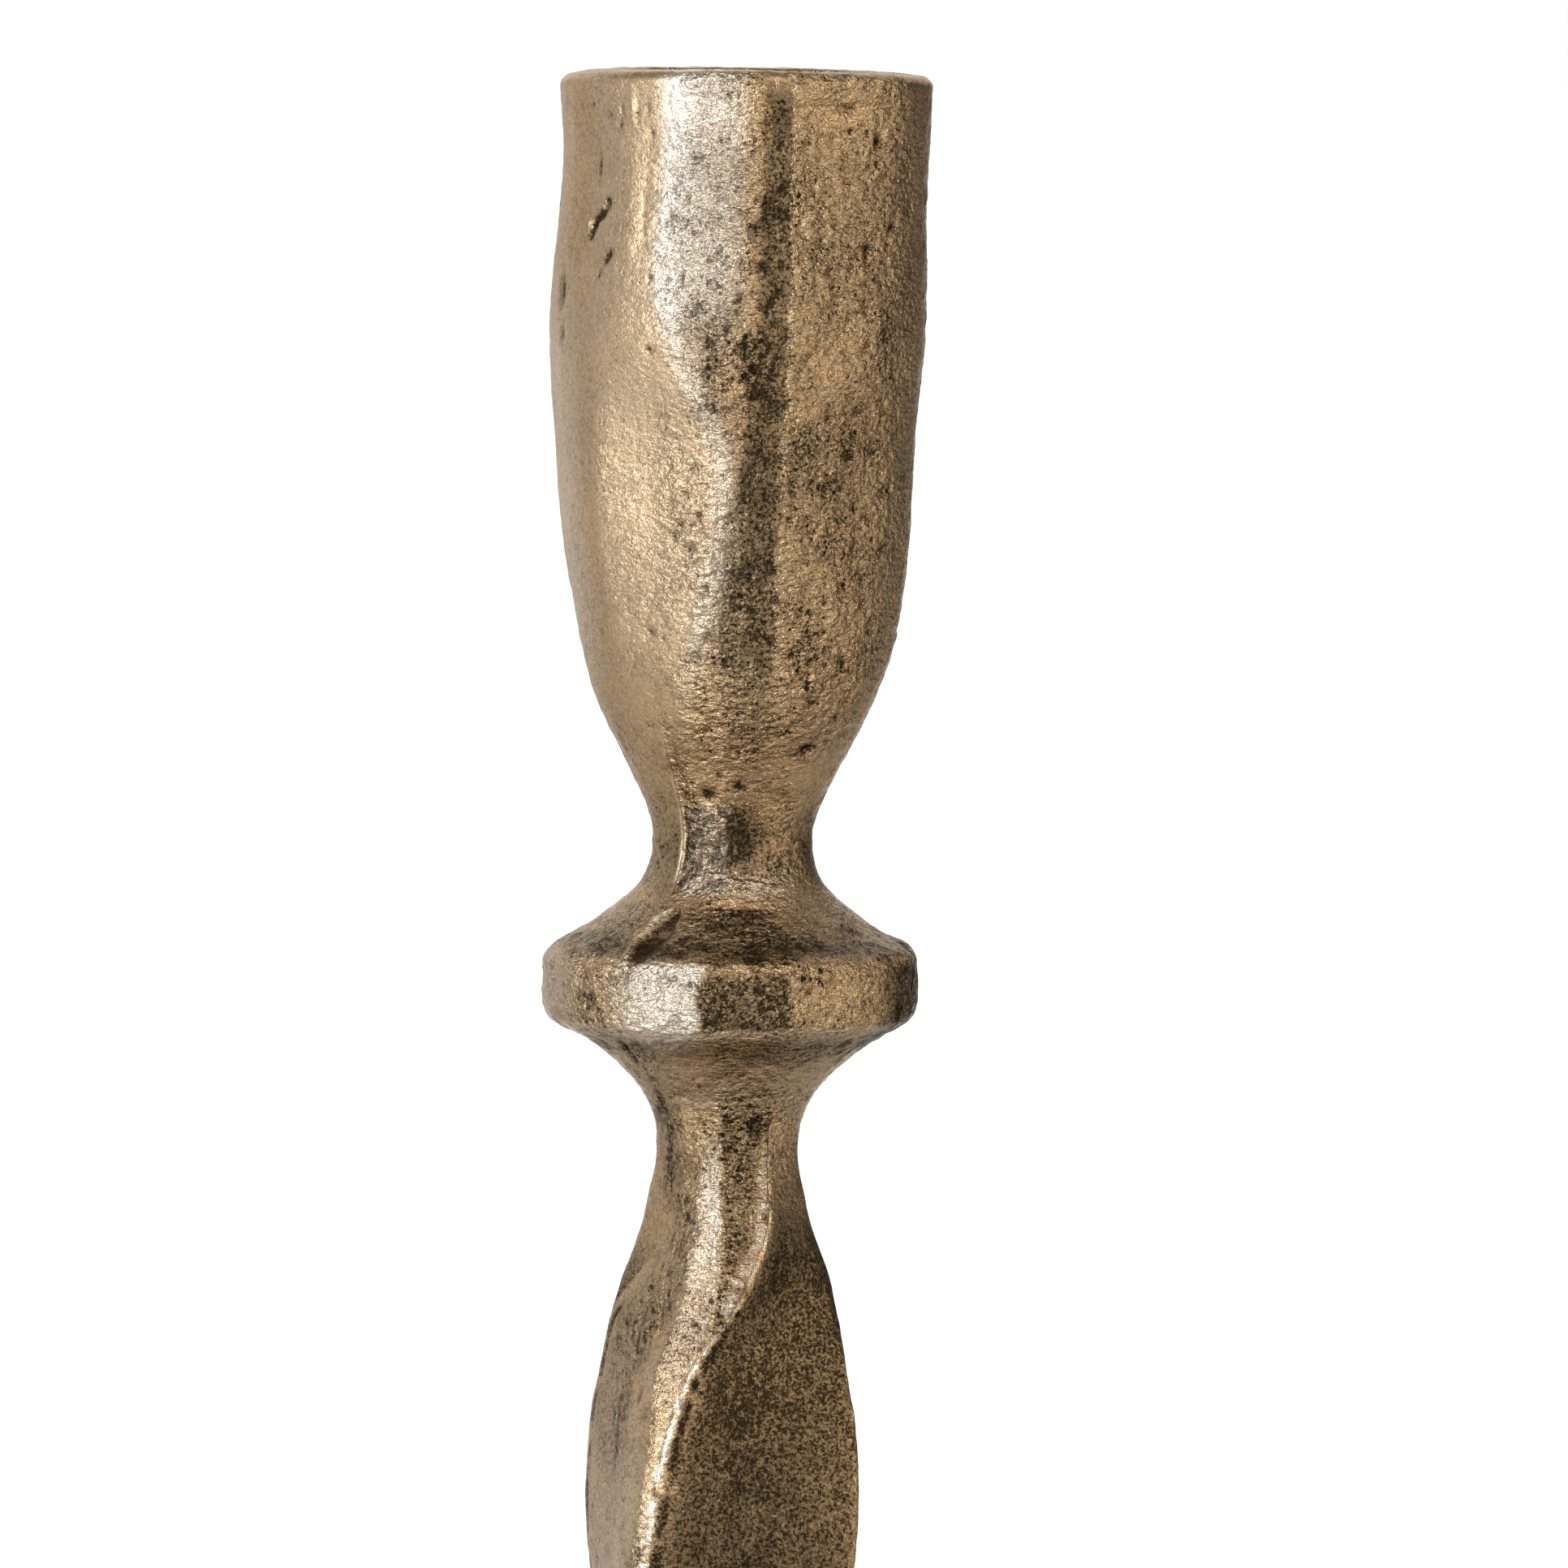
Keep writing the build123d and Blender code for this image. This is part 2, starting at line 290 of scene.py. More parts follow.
CUP_OUTLINE = (
    (0, 10.3), (0.4, 9.93), (1.9, 8.6), (3.5, 7.85), (5, 7.58), (6.4, 7.58), (8, 7.95), (10.5, 9),
    (13, 10.25), (15.6, 11.65), (18.2, 12.95), (21, 14), (25, 15.1), (30, 16), (36, 16.7),
    (43, 17.15), (49, 17.65), (54, 17.95), (59, 17.85), (65, 17.5), (70, 17.4), (74, 17.6),
    (78, 17.85),
)
# Sideways wander of the cup's middle
CUP_WANDER = ((0, 0), (17, 0), (26, 0.15), (34, -0.15), (45, -0.4), (55, -0.3), (64, 0), (72, 0.25), (78, 0.12))
# Directions of the ridges at a few heights
CUP_RIDGES = (
    ((0, -126), (78, -126)),
    ((0, -93), (78, -93)),
    ((0, -74), (30, -72), (78, -70)),
    ((0, -56), (20, -52), (35, -51), (45, -50), (55, -48), (65, -44), (78, -47)),
    ((0, -24), (20, -23), (25, -18), (28, -14.3), (31, -11.2), (35, -7.9), (39, -6.6), (42, -6.7), (44.3, -8.6),
     (47.4, -13.4), (51, -20), (54.3, -25), (59.7, -27.7), (69.7, -26), (78, -25.6)),
    ((0, 6), (16, 6), (26, 5), (36, 5), (45, 4), (52, 2), (62, 0), (78, 0)),
    ((0, 26), (16, 25), (26, 23), (36, 21), (45, 18.5), (52, 17), (62, 16.5), (78, 16.5)),
    ((0, 46), (26, 40), (36, 41), (45, 43), (60, 46), (78, 46)),
    ((0, 60), (26, 57), (45, 58), (78, 60)),
    ((0, 76), (78, 76)),
    ((0, 94), (78, 94)),
    ((0, 126), (78, 126)),
    ((0, 160), (78, 163)),
    ((0, 200), (78, 197)),
)
BRIGHT_RIDGE = 4
CUP_SHARPNESS = 45
CUP_FACETED = 0.988
RIM_ROUND = 1.1
RIM_RISE = 0.35
# Painted dark reflection in a streak down the front at a few heights: its direction, half width and strength
DARK_REFLECTION_TURN = ((0, 6), (20, 5), (28, 3), (36, 7), (45, 10), (60, 11), (78, 11))
DARK_REFLECTION_WIDTH = ((0, 9), (28, 11), (36, 9), (45, 6.5), (60, 5), (78, 5))
DARK_REFLECTION_STRENGTH = (
    (0, 0), (12, 0.1), (18, 0.28), (24, 0.58), (32, 0.62), (40, 0.57), (58, 0.57), (74, 0.63), (76, 0.48),
    (77, 0), (78, 0))
SOCKET_RADIUS = 11.5
SOCKET_DEPTH = 32.0
SOCKET_LEAD = 1.0
SEAM_TURN = -37.0
CUP_ROWS = 210
CUP_COLUMNS = 384
# Pits, smears and ridges of the casting: direction, height, half width, half height, depth, lean, stain
CUP_FLAWS = (
    (46.2, 71.9, 0.66, 0.66, 0.85, 0, 1.8),
    (34.5, 75, 1.1, 0.45, 0.3, -0.6, 1),
    (35.2, 72.8, 0.5, 0.5, 0.28, 0, 0.9),
    (50.5, 74.8, 0.6, 0.5, 0.25, 0, 0.8),
    (54.3, 64, 0.75, 0.55, 0.45, 0.3, 1.4),
    (43.4, 62.1, 0.5, 0.45, 0.45, 0, 1.4),
    (29, 60, 0.9, 0.6, 0.25, 0.5, 0.9),
    (30, 58.4, 0.4, 0.4, 0.3, 0, 1.1),
    (0, 57.2, 0.5, 0.45, 0.3, 0, 1),
    (-14.7, 70.1, 0.4, 0.35, 0.25, 0, 0.9),
    (38, 14.9, 0.75, 0.45, 0.5, 0, 1.4),
    (-47.5, 65.9, 0.6, 0.55, 0.4, 0, 1.8),
    (-50.5, 64.7, 0.9, 0.6, 0.45, 0.8, 2.2),
    (-53.5, 63.9, 0.6, 0.6, 0.35, 0, 1.8),
    (-55, 62.9, 0.55, 0.6, 0.35, 0, 2),
    (-57, 63.7, 0.35, 0.6, -0.3, 0, 0),
    (-49.3, 65.5, 0.28, 0.32, -0.35, 0, -0.6),
    (-44.8, 60.9, 0.6, 0.9, 0.2, 0.5, 1.4),
    (-48, 59.2, 0.25, 0.7, 0.15, 0.4, 0.9),
    (-52.5, 69.3, 0.35, 1.8, 0.15, 0, 0.7),
    (-70, 57.5, 0.8, 2, 0.35, 0, 0.8),
    (-68, 53.5, 0.5, 1.2, 0.2, 0.1, 0.6),
    (-21.5, 35.2, 0.8, 0.7, 0.28, 0.4, 0.5),
    (-19, 36.3, 0.6, 0.4, 0.25, 0, 0.8),
    (-16.5, 39, 0.5, 0.45, 0.22, 0, 0.6),
    (-14, 41.5, 0.6, 0.5, 0.22, 0.3, 0.6),
    (-18.5, 43, 0.45, 0.4, 0.2, 0, 0.6),
    (-12.5, 37, 0.5, 0.6, 0.22, 0, 0.6),
    (-15, 34, 0.6, 0.5, 0.2, 0.3, 0.5),
    (-27.9, 52.4, 0.35, 0.3, 0.28, 0, 1.2),
    (-28.2, 59.1, 0.28, 0.28, 0.25, 0, 1),
    (-33.5, 26, 0.5, 0.4, 0.22, 0, 0.8),
    (-37.3, 75, 0.35, 1.7, -0.12, 0, -0.2),
    (-41.3, 74.6, 0.28, 1, 0.1, 0, 0.7),
    (-42.6, 73.1, 0.35, 0.55, 0.14, 0.2, 1),
    (-46.5, 74, 0.3, 0.4, 0.1, 0, 0.7),
    (-36, 74.3, 0.28, 0.45, 0.14, 0.3, 1),
    (-31.8, 74.9, 0.25, 0.4, 0.12, 0, 0.9),
    (-30.6, 72.4, 0.35, 0.35, 0.16, 0, 1),
    (-55.5, 75, 0.25, 0.35, 0.12, 0, 0.9),
    (-32, 66, 0.5, 6, 0.07, 0, 0.1),
    (-37, 65, 0.8, 6.5, -0.07, 0, 0),
    (-15, 10.5, 0.9, 0.7, 0.3, 0, 1),
    (3, 11.5, 0.7, 0.6, 0.25, 0, 0.9),
    (-8, 12.5, 0.4, 0.4, 0.25, 0, 0.9),
)


def make_cup():
    """Cup with its facets, rim, socket, casting marks and painted light."""
    height = rim_level - cup_level + RIM_RISE
    levels = np.linspace(0, height - RIM_ROUND, CUP_ROWS)
    outer = np.stack([curve(CUP_OUTLINE, levels), levels], axis=1)
    top = outer[-1, 0] - RIM_ROUND
    turns = np.radians(np.linspace(0, 90, 13)[1:])
    lip = np.stack([top + RIM_ROUND * np.cos(turns), height - RIM_ROUND * (1 - np.sin(turns))], axis=1)
    mouth = np.linspace(top, SOCKET_RADIUS + SOCKET_LEAD, 6)[1:]
    flat = np.stack([mouth, np.full(len(mouth), height)], axis=1)
    turns = np.radians(np.linspace(0, 90, 5)[1:])
    lead = np.stack([
        SOCKET_RADIUS + SOCKET_LEAD * (1 - np.sin(turns)), height - SOCKET_LEAD * (1 - np.cos(turns))], axis=1)
    outline = np.concatenate([outer, lip, flat, lead])
    socket_floor = height - SOCKET_DEPTH
    wall = [(SOCKET_RADIUS, level) for level in np.linspace(height - SOCKET_LEAD, socket_floor, 10)[1:]]
    before = np.array([
        (HUB_RADIUS, TAPPED_DEPTH), (TAPPED_RADIUS, TAPPED_DEPTH), (TAPPED_RADIUS, -SPIGOT_LENGTH),
        (WIDE_SPIGOT, -SPIGOT_LENGTH), (WIDE_SPIGOT, 0)])
    after = np.array(wall + [(SOCKET_RADIUS / 2, socket_floor), (HUB_RADIUS, socket_floor)])
    for part in (outline, before, after):
        part[:, 1] += cup_level
    skin = Skin(outline, CUP_COLUMNS, before, after)

    high = skin.level - cup_level
    body = skin.outside * (skin.out_r > -0.5)
    place = skin.points()
    sway = 2.5 * noise(place, 14.0, 71)
    ridges = [curve(knots, high) + np.zeros(skin.shape) for knots in CUP_RIDGES]
    soft = facet_factor(skin.turn + sway, ridges, CUP_SHARPNESS)
    side = soft * np.sin(np.radians(skin.turn))
    soft = CUP_FACETED * 2 * soft / (side.max(axis=1, keepdims=True) - side.min(axis=1, keepdims=True))
    fade = ramp(2, 15, high) * (1 - 0.4 * ramp(75, 78, high)) * body
    skin.factor = 1 + (soft - 1) * fade
    skin.shift = curve(CUP_WANDER, high) * skin.outside

    turn = skin.turn + np.zeros(skin.shape)
    seen = 1 - ramp(120, 165, np.abs(turn))
    past_ridge = ramp(-5, 5, turn + sway - ridges[BRIGHT_RIDGE]) * seen
    far_right = ramp(52, 68, turn)
    coarse = 0.10 + 0.72 * past_ridge * (1 - 0.5 * far_right) + 0.3 * ramp(75, 110, np.abs(turn))
    coarse += 0.35 * np.exp(-((high - 38) / 7) ** 2) * ramp(-30, -19, turn) * (1 - past_ridge) * seen
    coarse += (0.34 - coarse) * (1 - ramp(12, 20, high))
    coarse -= 0.30 * ramp(70, 75, high) * ramp(-40, -20, turn) * seen
    skin.mark(coarse=coarse)
    cast_surface(skin, ramp(0, 2.0, high))

    def blot(turn_at, level, width, tall):
        """Soft oval patch."""
        return np.exp(-(skin.arc_from(turn_at) / width) ** 2 - ((high - level) / tall) ** 2)

    # Lumpy like peel above the belly, right of the bright ridge
    lumpy = past_ridge * (1 - far_right) * ramp(46, 56, high)
    lumpy *= (1 - 0.6 * ramp(72, 76, high)) * body
    peel = noise(place, 1.5, 101, 2)
    skin.offset += 0.11 * lumpy * peel
    skin.mark(patina=0.35 * lumpy * ramp(0.12, 0.55, -peel))
    # Pale metal on the bright ridge and the faces beside it, partly rubbing and partly painted highlight, and a
    # painted grey reflection of the white backdrop far on the left
    shine = np.exp(-((turn + sway - ridges[BRIGHT_RIDGE] - 3) / 4.5) ** 2)
    painted_grey_reflection = window(-100, -86, -66, -54, turn) * (1 - ramp(50, 62, high))
    worn = 0.15 * window(-60, -46, -16, 6, turn) + 0.4 * shine + 0.35 * painted_grey_reflection
    worn += 0.60 * past_ridge * (1 - ramp(-6, 5, turn)) * ramp(50, 60, high)
    skin.mark(worn=worn * ramp(16, 30, high), patina=0.09 * painted_grey_reflection, coarse=-0.25 * shine)
    # The rim is rubbed round at its sides, most on the left
    rubbed = np.sin(np.radians(turn)) ** 2 * np.where(turn < 0, 1.0, 0.6)
    corner = 2 * np.maximum(skin.out_r, 0) * np.maximum(skin.out_z, 0)
    skin.offset -= (0.12 * corner + 0.22 * ramp(75.0, 78.2, high)) * rubbed * body
    lowered = 0.45 * ramp(14.2, 16.9, skin.radius) * ramp(73.6, 77.3, high)
    skin.lift -= lowered * rubbed * skin.outside
    # Painted dark reflection in a streak down the front, with a pitted patch beside it
    dark_reflection = np.exp(-((turn + sway - curve(DARK_REFLECTION_TURN, high)) / curve(DARK_REFLECTION_WIDTH, high)) ** 6)
    skin.mark(patina=curve(DARK_REFLECTION_STRENGTH, high) * dark_reflection, coarse=-0.50 * dark_reflection * ramp(18, 26, high))
    pitted = blot(-3.0, 52, 3.2, 6.5)
    skin.mark(patina=0.55 * pitted * ramp(-0.3, 0.4, noise(place, 1.6, 99, 2)), coarse=0.3 * pitted)
    # The hammered hollow on the right stops short of the rim
    hollow = window(3, 9, 38, 60, turn) * ramp(56, 70, high)
    hollow *= 1 - ramp(74.6, 76.4, high + 0.6 * noise(place, 5.0, 73))
    skin.offset -= 0.30 * hollow * body

    # Filed parting line low on the cup, proud on its left, rough on its right
    seam = skin.arc_from(SEAM_TURN) + 0.3 * noise(place, 2.2, 91) - 0.04 * (high - 5)
    low = window(0.2, 2.5, 12, 19, high)
    left = np.exp(-(np.minimum(seam, 0) / 2.6) ** 2) * (seam < 0) * low
    right = np.exp(-(np.maximum(seam, 0) / 3.2) ** 2) * ramp(0, 0.35, seam) * low
    edge = np.exp(-((seam + 0.2) / 0.25) ** 2) * low * ramp(-0.5, 0.2, noise(place, 3.0, 92))
    patch = ramp(0, 0.4, seam) * (1 - ramp(-8, 3, turn)) * ramp(0.8, 1.8, high)
    patch *= 1 - ramp(8.6, 10.2, high + 0.5 * noise(place, 2.0, 94))
    patch *= turn > SEAM_TURN - 20
    skin.offset += 0.14 * left - 0.20 * right + 0.12 * edge
    skin.offset += 0.11 * np.maximum(patch, 0.6 * right) * noise(place, 1.0, 93, 2)
    skin.mark(patina=0.3 * right * ramp(-0.2, 0.5, noise(place, 1.2, 95)) + 0.08 * right)
    skin.mark(patina=0.85 * patch * ramp(-0.1, 0.35, noise(place, 0.9, 96, 2)))
    # Pale metal on the seam's edge and the rough patch, partly wear and partly painted highlight, and a painted glint
    # low on the neck's front right
    skin.mark(patina=0.25 * left - 0.5 * edge, coarse=0.3 * right - 0.3 * left, worn=0.35 * edge)
    painted_glint = blot(12.0, 2.1, 4.0, 1.1)
    skin.mark(patina=-0.20 * painted_glint, coarse=0.35 * patch + 0.45 * painted_glint, worn=0.42 * patch + 0.50 * painted_glint)
    # Less dark at the top on the right
    skin.mark(patina=-0.20 * window(16, 24, 44, 60, turn) * ramp(56, 64, high))
    # Painted dark reflection on a smooth patch at the neck's front, and a darker field low on the right
    bare = blot(2.0, 6.3, 1.8, 2.6)
    skin.mark(patina=1.2 * bare * ramp(-0.5, 0.2, noise(place, 1.7, 98, 2)), coarse=-0.4 * bare)
    field = blot(26.0, 42, 6.0, 8)
    skin.mark(patina=0.42 * field * ramp(-0.6, 0.4, noise(place, 4.0, 97, 2)))
    # Darker low on the neck, most on the right, and grime in the socket
    neck_darkening = 0.25 + 0.24 * ramp(15, 30, turn) * seen
    skin.mark(patina=neck_darkening * np.exp(-((high - 5) / 3.5) ** 2))
    skin.wear_and_light["patina"] += 0.5 * (1 - skin.outside)

    for turn_at, level, *shape in CUP_FLAWS:
        skin.dent(turn_at, cup_level + level, *shape)
    return skin.build("candle_cup_casting")


# Collars. Heights are above the narrow joint.

COLLAR_OUTLINE = (
    (7.5, 0), (8.3, 1.4), (9.6, 2.95), (11.2, 4.5), (13.45, 6.2), (15, 7.1), (16.5, 7.9), (17.3, 8.55),
    (17.65, 9.4), (17.8, 10.7), (17.82, 12.2), (17.75, 13.6), (17.45, 14.5), (16.8, 15.2), (15.2, 16), (13.8, 16.8),
    (11.7, 18.35), (10.3, 19.5),
)
BAND_RIDGES = (
    -170, -154, -138, -122, -106, -90, -75, -60, -46, -31, -9, 18, 41, 56, 72, 88, 104, 120, 136, 152, 168, 179)
BAND_SHARPNESS = 150
COLLAR_TILT = 0.012
GOUGE_TURN = -29.0
GOUGE_LEAN = -0.22
GOUGE_LENGTH = 5.0
GOUGE_WIDTH = 1.5
GOUGE_DEPTH = 0.42
# Marks on the upper collar: direction, depth below the cup, half width, half height, depth, lean, stain
COLLAR_FLAWS = (
    (-41, 6.3, 0.5, 0.5, 0.3, 0, 0.4),
    (-46, 13.2, 0.5, 0.9, 0.35, 0.9, 0.6),
    (-50, 14.6, 0.5, 0.9, 0.3, 0.9, 0.5),
    (-55, 18.4, 0.9, 1.2, 0.25, 0, 0.7),
)
COLLAR_SPACING = 0.27
COLLAR_COLUMNS = 360
# How much of the upper collar's patches the lower collar shows
LOWER_SHOWN = 0.3


def make_collar(name, low, high, turned_over):
    """Collar between two levels; the lower one is the same casting turned over."""
    outline = outline_through(COLLAR_OUTLINE, COLLAR_SPACING)
    height = high - low
    outline[:, 1] *= height / COLLAR_OUTLINE[-1][1]
    recess = SPIGOT_LENGTH + SPIGOT_CLEARANCE
    narrow, wide = NARROW_SPIGOT + SPIGOT_CLEARANCE, WIDE_SPIGOT + SPIGOT_CLEARANCE
    before = np.array([(THROUGH_RADIUS, recess), (narrow, recess), (narrow, 0)])
    after = np.array([(wide, height), (wide, height - recess), (THROUGH_RADIUS, height - recess)])
    if turned_over:
        parts = [part[::-1] * (1, -1) + (0, height) for part in (outline, after, before)]
    else:
        parts = [outline, before, after]
    outline, before, after = (part + (0, low) for part in parts)
    skin = Skin(outline, COLLAR_COLUMNS, before, after, ring=True)
    side = -1.0 if turned_over else 1.0
    band = ramp(13.0, 17.3, skin.radius)
    place = skin.points()
    turn = side * skin.turn + 2.0 * noise(place, 9.0, 151) + 1.6 * noise(place, 2.6, 153)
    soft = facet_factor(turn, [np.full((1, 1), float(ridge)) for ridge in BAND_RIDGES], BAND_SHARPNESS)
    skin.factor = 1 + (soft - 1) * band * skin.outside
    skin.lift = COLLAR_TILT * place[..., 0] * band * skin.outside

    rise = (high - skin.level) if turned_over else (skin.level - low)
    upper_cone = ramp(14.2, 16.0, rise) * skin.outside
    lower_cone = (1 - ramp(5.5, 8.0, rise)) * skin.outside
    skin.mark(coarse=0.80 - 0.15 * upper_cone - 0.25 * lower_cone, scored=0.8 * lower_cone + 0.4 * upper_cone)
    cast_surface(skin, 0.8 * ramp(0, 1.5, rise) * ramp(0, 1.5, height - rise))
    # Dirt on the upper cone, heavier in front as painted shade
    front = np.exp(-((side * skin.turn - 8) / 40) ** 2)
    skin.mark(patina=(0.18 + 0.28 * front) * upper_cone * ramp(-0.7, 0.4, noise(place, 3.0, 161, 2)))
    skin.mark(patina=0.22 * lower_cone * ramp(-0.4, 0.5, noise(place * (0.3, 0.3, 2.0), 2.5, 163, 2)))
    # Painted highlight round the band's upper edge
    skin.mark(patina=-0.60 * np.exp(-((rise - 14.5) / 0.5) ** 2))
    nook = np.exp(-((rise - 15.9) / 0.9) ** 2) + np.exp(-((rise - 6.6) / 1.0) ** 2)
    skin.mark(patina=0.45 * nook * ramp(-0.8, 0.4, noise(place, 2.5, 165, 2)))
    # Band: painted dark reflection on a panel in front, painted highlight on the facet beside it and on the lip
    # below, a calm left side painted paler where the light falls, and a dark right flank
    between_cones = (1 - upper_cone) * (1 - lower_cone)
    panel = window(-11, -7, 16, 20, turn) * (1 - upper_cone)
    panel *= ramp(8.3, 9.0, rise + 0.3 * noise(place, 2.0, 167))
    flank = window(46, 66, 100, 140, turn) * between_cones
    calm = window(-140, -110, -78, -40, turn)
    bright = window(-46, -24, -12, -6, turn)
    lip = np.exp(-((rise - 8.4) / 0.4) ** 2) * window(-75, -50, 50, 75, turn)
    shown = LOWER_SHOWN if turned_over else 1.0
    skin.mark(patina=shown * (0.66 * panel + 0.70 * flank) - 0.25 * calm * between_cones - 0.35 * lip)
    worn = shown * (0.88 * bright + 0.38 * calm + 0.30 * lip * (1 - bright))
    worn += (0.10 - worn) * np.maximum(upper_cone, lower_cone)
    skin.mark(coarse=-0.22 * calm - 0.25 * bright - 0.15 * panel, worn=worn)
    if not turned_over:
        # Leaf-shaped gouge from the cup's joint down to the band, with a burr along its left edge
        below = high - skin.level
        half = GOUGE_WIDTH * np.sin(np.pi * np.clip(below / GOUGE_LENGTH, 0.0, 1)) ** 0.6 + 0.01
        from_middle = skin.arc_from(GOUGE_TURN) - GOUGE_LEAN * below + 0.25 * noise(place, 1.6, 171)
        leaf = (1 - ramp(0.35, 1.25, np.abs(from_middle) / half)) * (below > 0)
        burr = np.exp(-((from_middle + 1.15 * half) / 0.35) ** 2) * ramp(0.2, 0.6, half) * (below > 0)
        skin.offset += 0.16 * burr - GOUGE_DEPTH * leaf
        skin.mark(patina=0.65 * leaf * ramp(-0.9, 0.2, noise(place, 1.2, 173)) - 0.6 * burr)
        skin.mark(coarse=-0.4 * leaf, worn=0.4 * burr)
        for turn_at, drop, *shape in COLLAR_FLAWS:
            skin.dent(turn_at, high - drop, *shape)
    return skin.build(name)


# Twisted stem. Depths are from the nearer joint; the lower half repeats the upper one.

STEM_RADIUS = (
    (0, 7.5), (1.5, 6.95), (3.1, 6.72), (4.6, 6.72), (6.2, 6.88), (8.3, 7.32), (10.9, 7.9), (13.5, 8.75),
    (16.1, 9.65), (18.7, 10.3), (21.4, 11.1), (24, 11.9), (26.6, 12.6), (29.2, 13.35), (31.8, 13.85), (34.5, 14.2),
    (37.1, 14.45), (39.7, 14.6), (42.3, 14.55), (47, 14.15), (54, 13), (64, 11.6), (75, 11.2),
)
STEM_CRISP = ((0, 0), (2, 0.1), (6, 0.8), (9, 1), (75, 1))
# Direction of one ridge, and the width of the chamfer on its left side
STEM_TURN = (
    (0, 33), (6, 33), (10, 31.5), (12, 27), (14, 19.5), (17.2, 8.8), (19.8, 0), (22.2, -8.5), (24.8, -15.2),
    (28.2, -19.3), (31.3, -22.2), (33.9, -24), (37, -25.7), (41.2, -27.9), (45, -29.5), (50, -33), (58, -44),
    (66, -63), (75, -89),
)
STEM_CHAMFER = ((0, 39), (8, 38), (11, 33), (15, 20), (18, 12), (20.5, 7), (24, 3), (75, 2.5))
# Width of the strip left of the chamfer, rubbed pale and given a painted highlight
STEM_STRIP = ((0, 12), (10, 12.5), (15, 17), (20.5, 18), (24.6, 13), (29, 7), (34, 4), (75, 3))
# Extra turn of the ridge left of the front one, near the joints
STEM_SPREAD = 30.0
STEM_SHARPNESS = ((0, 20), (15, 24), (24, 60), (75, 60))
STEM_BULGE = 0.25
STEM_ROWS = 331
STEM_COLUMNS = 288


